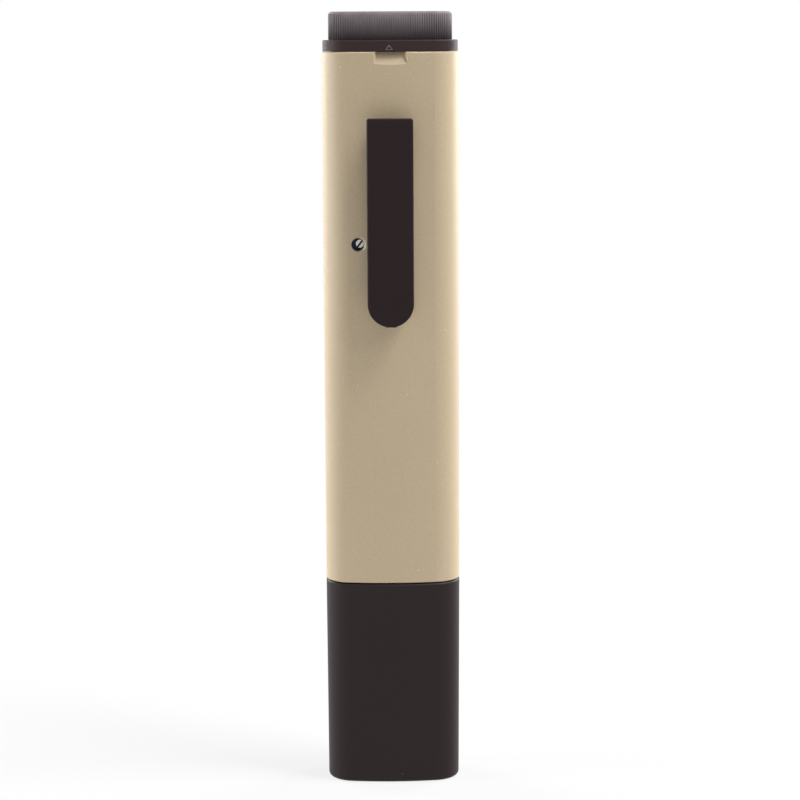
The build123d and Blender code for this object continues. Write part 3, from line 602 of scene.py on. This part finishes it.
mark_curve = bpy.data.curves.new("flange_mark", "CURVE")
mark_curve.dimensions = "3D"
mark_curve.bevel_depth = 0.10 * mm
mark_curve.bevel_resolution = 2
mark_x, mark_foot, mark_tip, mark_half = -0.28 * mm, 147.62 * mm, 148.42 * mm, 0.66 * mm
mark_corners = ((-mark_half, mark_foot), (0.0, mark_tip), (mark_half, mark_foot))
mark_line = mark_curve.splines.new("POLY")
mark_line.points.add(len(mark_corners) - 1)
for point, (x, z) in zip(mark_line.points, mark_corners):
    point.co = (mark_x + x, flange_front(mark_x + x), z, 1.0)
mark_line.use_cyclic_u = True
mark_source = bpy.data.objects.new("mark_source", mark_curve)
scene.collection.objects.link(mark_source)
depsgraph = bpy.context.evaluated_depsgraph_get()
mark_mesh = bpy.data.meshes.new_from_object(mark_source.evaluated_get(depsgraph))
bpy.data.objects.remove(mark_source)
mark = bpy.data.objects.new("flange_mark", mark_mesh)
scene.collection.objects.link(mark)
mark_mesh.materials.clear()
mark_mesh.materials.append(rubbed_abs)
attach(mark, "battery_unit")
print("mark:", len(mark_mesh.polygons), "faces")

# %% [markdown]
# ## The pocket clip
# On the real pen the clip is one springy moulding: a flat strap with a round tip and a low bump behind
# it, on a neck that is set into the shell. The CAD model parts it at the line where it flexes. Here it
# is one mesh again, a grid of rows up the strap, with no seam. Each grid point gets
# its depth from its distance to the strap's outline, which rounds the edges all the way along.

# %% Sizes of the clip, read from the CAD nodes
blade_low, blade_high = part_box("clip_blade")
root_low, root_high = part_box("clip_root")
strap_x = (blade_low.x + blade_high.x) / 2
strap_half = (blade_high.x - blade_low.x) / 2
strap_tip, strap_top = blade_low.z, root_high.z
strap_outer, strap_inner = blade_low.y, blade_low.y + 1.4 * mm
bump_height = blade_high.y - strap_inner
bump_level = strap_tip + 4.8 * mm
corner = 0.5 * mm
edge_round = 0.35 * mm
print("strap in mm:", round(2 * strap_half / mm, 2), "wide,", round((strap_top - strap_tip) / mm, 2), "long")

# %% The strap's outline and depth
def strap_half_width(z):
    """Half the strap's width at a level: round tip, straight sides, small corners at the top."""
    if z < strap_tip + strap_half:
        return sqrt(max(strap_half**2 - (strap_tip + strap_half - z) ** 2, 0.0))
    if z > strap_top - corner:
        return strap_half - corner + sqrt(max(corner**2 - (z - strap_top + corner) ** 2, 0.0))
    return strap_half


def inset(x, z):
    """Distance from a point inside the strap to its outline."""
    if z < strap_tip + strap_half:
        return strap_half - hypot(x, strap_tip + strap_half - z)
    beside, above = abs(x) - strap_half + corner, z - strap_top + corner
    if beside > 0 and above > 0:
        return corner - hypot(beside, above)
    return corner - max(beside, above)


def rounding(distance):
    """How far the face falls back at a distance from the outline."""
    short = max(edge_round - max(distance, 0.0), 0.0)
    return edge_round - sqrt(edge_round**2 - short**2)


def bump(z):
    """The low bump behind the strap, near its tip."""
    return bump_height * exp(-(((z - bump_level) / (2.2 * mm)) ** 2))


tip_rows = [strap_tip + strap_half * (1 - cos(radians(a))) for a in range(0, 90, 5)]
side_rows = [strap_tip + strap_half + i * 0.9 * mm for i in range(39)]
top_rows = [strap_top - step * mm for step in (0.5, 0.35, 0.24, 0.15, 0.08, 0.03, 0.0)]
rows = tip_rows + [z for z in side_rows if z < top_rows[0] - 0.2 * mm] + top_rows
columns = [sin(radians(a)) for a in range(-90, 91, 6)]
print("strap grid:", len(rows), "rows of", len(columns))

# %% Build the strap
def strap_mesh():
    """A closed strap: a front grid, a back grid, and a wall round the rim."""
    mesh = bmesh.new()
    sides = []
    for face in ("front", "back"):
        grid = []
        for z in rows:
            half = strap_half_width(z)
            line = []
            for t in columns:
                fall = rounding(inset(half * t, z))
                y = strap_outer + fall if face == "front" else strap_inner - fall + bump(z)
                line.append(mesh.verts.new((strap_x + half * t, y, z)))
            grid.append(line)
        for low, high in zip(grid, grid[1:]):
            for i in range(len(columns) - 1):
                ring = [low[i], low[i + 1], high[i + 1], high[i]]
                mesh.faces.new(ring if face == "front" else ring[::-1])
        rim = [line[-1] for line in grid] + grid[-1][-2::-1] + [line[0] for line in grid[-2::-1]]
        sides.append(rim)
    for i in range(len(sides[0]) - 1):
        mesh.faces.new([sides[0][i], sides[1][i], sides[1][i + 1], sides[0][i + 1]])
    bmesh.ops.remove_doubles(mesh, verts=mesh.verts, dist=1e-6)
    bmesh.ops.recalc_face_normals(mesh, faces=mesh.faces)
    data = bpy.data.meshes.new("strap")
    mesh.to_mesh(data)
    mesh.free()
    return data


strap = bpy.data.objects.new("pocket_clip", strap_mesh())
scene.collection.objects.link(strap)
print("strap faces:", len(strap.data.polygons))


# %% Add the neck that holds the strap, and the trace of the mould's gate at its tip
def rounded_block(low, high, radius, segments=3):
    """A block between two corners with all its edges rounded."""
    mesh = bmesh.new()
    bmesh.ops.create_cube(mesh, size=1.0)
    for vertex in mesh.verts:
        vertex.co = Vector(h if c > 0 else l for c, l, h in zip(vertex.co, low, high))
    bmesh.ops.bevel(
        mesh, geom=mesh.edges, offset=radius, segments=segments, profile=0.5, affect="EDGES"
    )
    return mesh


neck = rounded_block(
    (strap_x - 3.1 * mm, strap_inner - 0.7 * mm, root_low.z + 1.6 * mm),
    (strap_x + 3.1 * mm, root_high.y, strap_top - 1.6 * mm),
    0.3 * mm,
)
gate = rounded_block(
    (strap_x - 0.95 * mm, strap_outer + 0.25 * mm, strap_tip - 0.02 * mm),
    (strap_x + 1.15 * mm, strap_outer + 1.0 * mm, strap_tip + 0.5 * mm),
    0.05 * mm,
    segments=1,
)
for name, block in (("neck", neck), ("gate", gate)):
    block_data = bpy.data.meshes.new(name)
    block.to_mesh(block_data)
    block.free()
    block_object = bpy.data.objects.new(name, block_data)
    scene.collection.objects.link(block_object)
    joined = strap.modifiers.new(name, "BOOLEAN")
    joined.operation = "UNION"
    joined.solver = "EXACT"
    joined.object = block_object
depsgraph = bpy.context.evaluated_depsgraph_get()
clip_data = bpy.data.meshes.new_from_object(strap.evaluated_get(depsgraph))
strap.modifiers.clear()
strap.data = clip_data
for name in ("neck", "gate"):
    bpy.data.objects.remove(bpy.data.objects[name])
clip_data.materials.clear()
clip_data.materials.append(clip_abs)
clip_data.polygons.foreach_set("use_smooth", [True] * len(clip_data.polygons))
clip_data.set_sharp_from_angle(angle=radians(40))
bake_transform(strap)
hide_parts("clip_blade", "clip_root")
print("clip faces:", len(clip_data.polygons))

# %% [markdown]
# ## The display
# A clear acrylic window lies flush in the front shell over a grey-green liquid-crystal panel. Its rim is
# printed black from behind, which hides the seat. The print is a thin sheet, made here as a ring between
# two rounded rectangles that follows the window's curved inner face.

# %% Clear window and panel
clear_acrylic, tree, output = new_material("clear_acrylic")
place = add_node(tree, "ShaderNodeTexCoord").outputs["Object"]
wipe_marks = add_node(
    tree,
    "ShaderNodeTexNoise",
    inputs={"Vector": place, "Scale": 1000 / 3.0, "Detail": 5.0, "Distortion": 0.6},
)
haze = add_node(
    tree,
    "ShaderNodeMapRange",
    inputs={
        "Value": wipe_marks.outputs["Fac"],
        "From Min": 0.4,
        "From Max": 0.75,
        "To Min": 0.02,
        "To Max": 0.09,
    },
)
window_shader = add_node(
    tree,
    "ShaderNodeBsdfPrincipled",
    inputs={
        "Base Color": linear("#f4f7f6"),
        "Roughness": haze.outputs[0],
        "IOR": 1.49,
        "Transmission Weight": 1.0,
    },
)
tree.links.new(window_shader.outputs[0], output.inputs["Surface"])
dress(clear_acrylic, "display_window")

polariser, tree, output = new_material("lcd_polariser")
place = add_node(tree, "ShaderNodeTexCoord").outputs["Object"]
cloud = add_node(tree, "ShaderNodeTexNoise", inputs={"Vector": place, "Scale": 1000 / 9.0, "Detail": 1.0})
polariser_colour = add_node(
    tree,
    "ShaderNodeMix",
    {"data_type": "RGBA"},
    {"Factor": cloud.outputs["Fac"], "A": linear("#7e8a78"), "B": linear("#8b9685")},
)
polariser_shader = add_node(
    tree,
    "ShaderNodeBsdfPrincipled",
    inputs={"Base Color": polariser_colour.outputs["Result"], "Roughness": 0.25, "IOR": 1.5},
)
tree.links.new(polariser_shader.outputs[0], output.inputs["Surface"])
dress(polariser, "lcd_panel")
print("display finishes ready")

# %% The printed rim behind the window
window_low, window_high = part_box("display_window")
window_thickness, print_thickness, print_gap = 0.95 * mm, 0.02 * mm, 0.01 * mm
print_edge, print_width, print_corner = 0.05 * mm, 1.65 * mm, 0.6 * mm
window_corner = 1.5 * mm
window_z = (window_low.z + window_high.z) / 2


def rounded_rectangle(half_x, half_z, radius, steps=12):
    """Points round a rectangle with round corners, and along its sides."""
    points = []
    for quarter, (sx, sz) in enumerate(((1, 1), (-1, 1), (-1, -1), (1, -1))):
        centre_x, centre_z = sx * (half_x - radius), sz * (half_z - radius)
        for i in range(steps + 1):
            turn = (quarter + i / steps) * pi / 2
            points.append((centre_x + radius * cos(turn), centre_z + radius * sin(turn)))
        next_x, next_z = ((-sx, sz), (sx, -sz), (-sx, sz), (sx, -sz))[quarter]
        end = points[-1]
        to = (
            next_x * (half_x - radius) + (end[0] - centre_x),
            next_z * (half_z - radius) + (end[1] - centre_z),
        )
        for i in range(1, steps):
            share = i / steps
            points.append((end[0] + (to[0] - end[0]) * share, end[1] + (to[1] - end[1]) * share))
    return points


def printed_rim():
    """A thin curved ring with two faces and closed edges."""
    mesh = bmesh.new()
    half_x, half_z = (window_high.x - window_low.x) / 2, (window_high.z - window_low.z) / 2
    outer = rounded_rectangle(half_x - print_edge, half_z - print_edge, window_corner - print_edge)
    margin = print_edge + print_width
    inner = rounded_rectangle(half_x - margin, half_z - margin, print_corner)
    rings = []
    for depth in (window_thickness + print_gap, window_thickness + print_gap + print_thickness):
        for outline in (outer, inner):
            ring = []
            for x, z in outline:
                y = crown_y + sqrt((crown_radius - depth) ** 2 - x**2)
                ring.append(mesh.verts.new((x, y, window_z + z)))
            rings.append(ring)
    for a, b in ((0, 1), (1, 3), (3, 2), (2, 0)):
        for i in range(len(outer)):
            j = (i + 1) % len(outer)
            mesh.faces.new([rings[a][i], rings[a][j], rings[b][j], rings[b][i]])
    bmesh.ops.recalc_face_normals(mesh, faces=mesh.faces)
    data = bpy.data.meshes.new("window_print")
    mesh.to_mesh(data)
    mesh.free()
    return data


window_print = bpy.data.objects.new("window_print", printed_rim())
scene.collection.objects.link(window_print)
# Screen ink: a smooth dense black, seen through the clear window.
black_ink = moulded_plastic("black_screen_ink", "#121314", "#151617", 0.35, relief_mm=0.002, shine=0.3)
window_print.data.materials.append(black_ink)
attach(window_print, "pen_body")
print("printed rim:", len(window_print.data.polygons), "faces")

# %% [markdown]
# ## Keys, seals and the circuit board
# The keys are darker ABS, polished a little by fingers. The seals are nitrile rubber, matt and slightly
# dusty. The contact strips under the display are silicone with thin conducting layers, drawn at 0.5 mm
# apart, which is coarser than the real ones. The board is green solder mask over copper tracks.

# %% Plastics and rubbers inside
for material, nodes in (
    # Key ABS: dark, and a little glossier where fingers polish it.
    (
        moulded_plastic("key_abs", "#262021", "#2b2526", 0.38, shine=0.35),
        ("power_button", "hold_button", "unit_button"),
    ),
    # Unfilled nylon: milky off-white.
    (
        moulded_plastic("white_nylon", "#cfcbbf", "#c5c1b4", 0.45),
        ("power_plunger", "hold_plunger", "unit_plunger"),
    ),
    # Nitrile rubber: dull black with a trace of mould powder.
    (
        moulded_plastic("black_nitrile_rubber", "#141414", "#1b1b1a", 0.75, 0.6, 0.02, 0.25),
        ("battery_seal", "neck_seal"),
    ),
    # Silicone: soft even grey.
    (
        moulded_plastic("grey_silicone", "#55575a", "#5d5f62", 0.6, 0.6, 0.01),
        ("left_pin_seal", "right_pin_seal"),
    ),
    # Moulding epoxy: sandy dull black.
    (moulded_plastic("black_moulding_epoxy", "#161617", "#1a1a1b", 0.6, 0.25, 0.015), ("main_chip",)),
    # Thermoset: strong blue with a satin face.
    (moulded_plastic("blue_thermoset", "#1d3f78", "#224684", 0.4), ("trimmer_base",)),
    # Glazed alumina: white ceramic under a dark patchy glaze.
    (moulded_plastic("glazed_alumina", "#23262c", "#d8d6d0", 0.3, 0.5, 0.003), ("resistors",)),
    # Barium titanate: tan ceramic.
    (moulded_plastic("barium_titanate", "#8d7455", "#9c8262", 0.4, 0.3, 0.005), ("capacitors",)),
):
    dress(material, *nodes)
dress(black_abs, "switch_housings")
print("inner plastics:", len(bpy.data.materials))


# %% Layered silicone
layer_mm = 0.5
zebra, tree, output = new_material("layered_silicone")
place = add_node(tree, "ShaderNodeTexCoord").outputs["Object"]
along = add_node(tree, "ShaderNodeMapping", inputs={"Vector": place, "Scale": (1.0, 0.0, 0.0)})
bands = add_node(
    tree,
    "ShaderNodeTexWave",
    {"bands_direction": "X"},
    {"Vector": along.outputs[0], "Scale": 1000 / layer_mm / pi, "Distortion": 0.0},
)
layers = add_node(
    tree,
    "ShaderNodeMix",
    {"data_type": "RGBA"},
    {"Factor": bands.outputs["Fac"], "A": linear("#a8606a"), "B": linear("#241d1e")},
)
zebra_shader = add_node(
    tree,
    "ShaderNodeBsdfPrincipled",
    inputs={"Base Color": layers.outputs["Result"], "Roughness": 0.6},
)
tree.links.new(zebra_shader.outputs[0], output.inputs["Surface"])
dress(zebra, "lower_zebra_strip", "upper_zebra_strip")

# %% The circuit board
via_spacing, via_radius = 4.0, 0.35
solder_mask, tree, output = new_material("green_solder_mask")
place = add_node(tree, "ShaderNodeTexCoord").outputs["Object"]
flat = add_node(tree, "ShaderNodeMapping", inputs={"Vector": place, "Rotation": (pi / 2, 0.0, 0.0)})
tracks = add_node(
    tree,
    "ShaderNodeTexBrick",
    {"offset": 0.35, "squash": 1.4},
    {
        "Vector": flat.outputs[0],
        "Color1": linear("#123f20"),
        "Color2": linear("#164826"),
        "Mortar": linear("#2a7a3f"),
        "Scale": 1.0,
        "Mortar Size": 0.11 * mm,
        "Brick Width": 7.0 * mm,
        "Row Height": 1.3 * mm,
    },
)
holes = add_node(tree, "ShaderNodeTexVoronoi", inputs={"Vector": place, "Scale": 1000 / via_spacing})
tinned = add_node(
    tree,
    "ShaderNodeMath",
    {"operation": "LESS_THAN"},
    {0: holes.outputs["Distance"], 1: via_radius / via_spacing},
)
board_colour = add_node(
    tree,
    "ShaderNodeMix",
    {"data_type": "RGBA"},
    {"Factor": tinned.outputs[0], "A": tracks.outputs["Color"], "B": linear("#b9b7ae")},
)
board_shader = add_node(
    tree,
    "ShaderNodeBsdfPrincipled",
    inputs={
        "Base Color": board_colour.outputs["Result"],
        "Metallic": tinned.outputs[0],
        "Roughness": 0.3,
        "IOR": 1.55,
    },
)
tree.links.new(board_shader.outputs[0], output.inputs["Surface"])
dress(solder_mask, "circuit_board")
print("board and strips dressed")

# %% [markdown]
# ## Metals
# The cells, contacts and screws are plated steel, and the two pins of the probe are ground stainless
# steel. Rolling, turning and grinding leave fine lines, so each metal stretches its noise along the way
# it was worked. The trimmer's screw, seen through the hole in the shell, has its slot painted dark as
# painted shade.


# %% A worked metal
def worked_metal(name, colour, roughness, lines, line_mm=0.15, depth_mm=0.004):
    """Metal with fine working lines. The factors in lines squeeze the noise on each axis."""
    material, tree, output = new_material(name)
    place = add_node(tree, "ShaderNodeTexCoord").outputs["Object"]
    stretched = add_node(tree, "ShaderNodeMapping", inputs={"Vector": place, "Scale": lines})
    scratch = add_node(
        tree,
        "ShaderNodeTexNoise",
        inputs={"Vector": stretched.outputs[0], "Scale": 1000 / line_mm, "Detail": 3.0},
    )
    gloss = add_node(
        tree,
        "ShaderNodeMapRange",
        inputs={
            "Value": scratch.outputs["Fac"],
            "To Min": roughness - 0.08,
            "To Max": roughness + 0.08,
        },
    )
    tone = add_node(
        tree,
        "ShaderNodeMapRange",
        inputs={
            "Value": scratch.outputs["Fac"],
            "From Min": 0.3,
            "From Max": 0.7,
            "To Min": 0.88,
            "To Max": 1.08,
        },
    )
    toned = add_node(
        tree,
        "ShaderNodeVectorMath",
        {"operation": "SCALE"},
        {0: linear(colour)[:3], "Scale": tone.outputs[0]},
    )
    relief = add_node(
        tree,
        "ShaderNodeBump",
        inputs={"Height": scratch.outputs["Fac"], "Strength": 0.5, "Distance": depth_mm * mm},
    )
    shader = add_node(
        tree,
        "ShaderNodeBsdfPrincipled",
        inputs={
            "Base Color": toned.outputs[0],
            "Metallic": 1.0,
            "Roughness": gloss.outputs[0],
            "Normal": relief.outputs["Normal"],
        },
    )
    tree.links.new(shader.outputs[0], output.inputs["Surface"])
    return material


for material, nodes in (
    # Nickel plate: bright and slightly warm, rolled across the cell.
    (worked_metal("nickel_plated_steel", "#b9b8b6", 0.26, (0.06, 1.0, 1.0)), ("lower_cell", "upper_cell")),
    # Plated bronze: the spring metal's yellow shows through a little.
    (
        worked_metal("nickel_plated_bronze", "#bdb199", 0.24, (1.0, 1.0, 0.06)),
        ("negative_contact", "positive_contact", "bridge_contact"),
    ),
    # Zinc plate: bluish grey.
    (worked_metal("zinc_plated_steel", "#adb0b5", 0.3, (1.0, 1.0, 1.0)), ("board_screws",)),
    # Stainless sheet: clean grey, rolled.
    (worked_metal("stainless_sheet", "#b4b3b0", 0.22, (0.1, 1.0, 1.0)), ("switch_domes",)),
    # Tin plate: the brightest of them, drawn upwards.
    (worked_metal("tinned_steel_can", "#c2c2bf", 0.2, (1.0, 1.0, 0.08)), ("crystal",)),
    # Ground stainless steel: fine rings round the pins.
    (
        worked_metal("ground_stainless_steel", "#b7b6b3", 0.2, (0.08, 0.08, 1.0)),
        ("left_electrode", "right_electrode", "temperature_sensor"),
    ),
):
    dress(material, *nodes)
print("metals ready")

# %% The trimmer's screw and the painted shade in its slot
slot_angle, slot_inner, slot_outer = 52.0, 0.16 * mm, 0.24 * mm
screw_nickel = worked_metal("slotted_nickel_screw", "#c4c3c0", 0.3, (1.0, 1.0, 1.0), 0.3)
screw_shader = shader_of(screw_nickel)
screw_low, screw_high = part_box("trimmer_screw")
screw_x, screw_z = (screw_low.x + screw_high.x) / 2, (screw_low.z + screw_high.z) / 2
tree = screw_nickel.node_tree
place = add_node(tree, "ShaderNodeTexCoord").outputs["Object"]
centred = add_node(
    tree, "ShaderNodeVectorMath", {"operation": "SUBTRACT"}, {0: place, 1: (screw_x, 0.0, screw_z)}
)
turned = add_node(
    tree,
    "ShaderNodeVectorRotate",
    {"rotation_type": "Y_AXIS"},
    {"Vector": centred.outputs[0], "Angle": radians(slot_angle)},
)
across = add_node(tree, "ShaderNodeSeparateXYZ", inputs={0: turned.outputs[0]})
aside = add_node(tree, "ShaderNodeMath", {"operation": "ABSOLUTE"}, {0: across.outputs["Z"]})
# Painted shade: the colour falls to 6 percent along the slot, where shade would fall.
painted_slot_shade = add_node(
    tree,
    "ShaderNodeMapRange",
    inputs={
        "Value": aside.outputs[0],
        "From Min": slot_inner,
        "From Max": slot_outer,
        "To Min": 0.06,
        "To Max": 1.0,
    },
)
slot_shaded_colour = add_node(
    tree,
    "ShaderNodeVectorMath",
    {"operation": "SCALE"},
    {0: screw_shader.inputs["Base Color"].links[0].from_socket, "Scale": painted_slot_shade.outputs[0]},
)
tree.links.new(slot_shaded_colour.outputs[0], screw_shader.inputs["Base Color"])
dress(screw_nickel, "trimmer_screw")
print("materials:", len(bpy.data.materials))
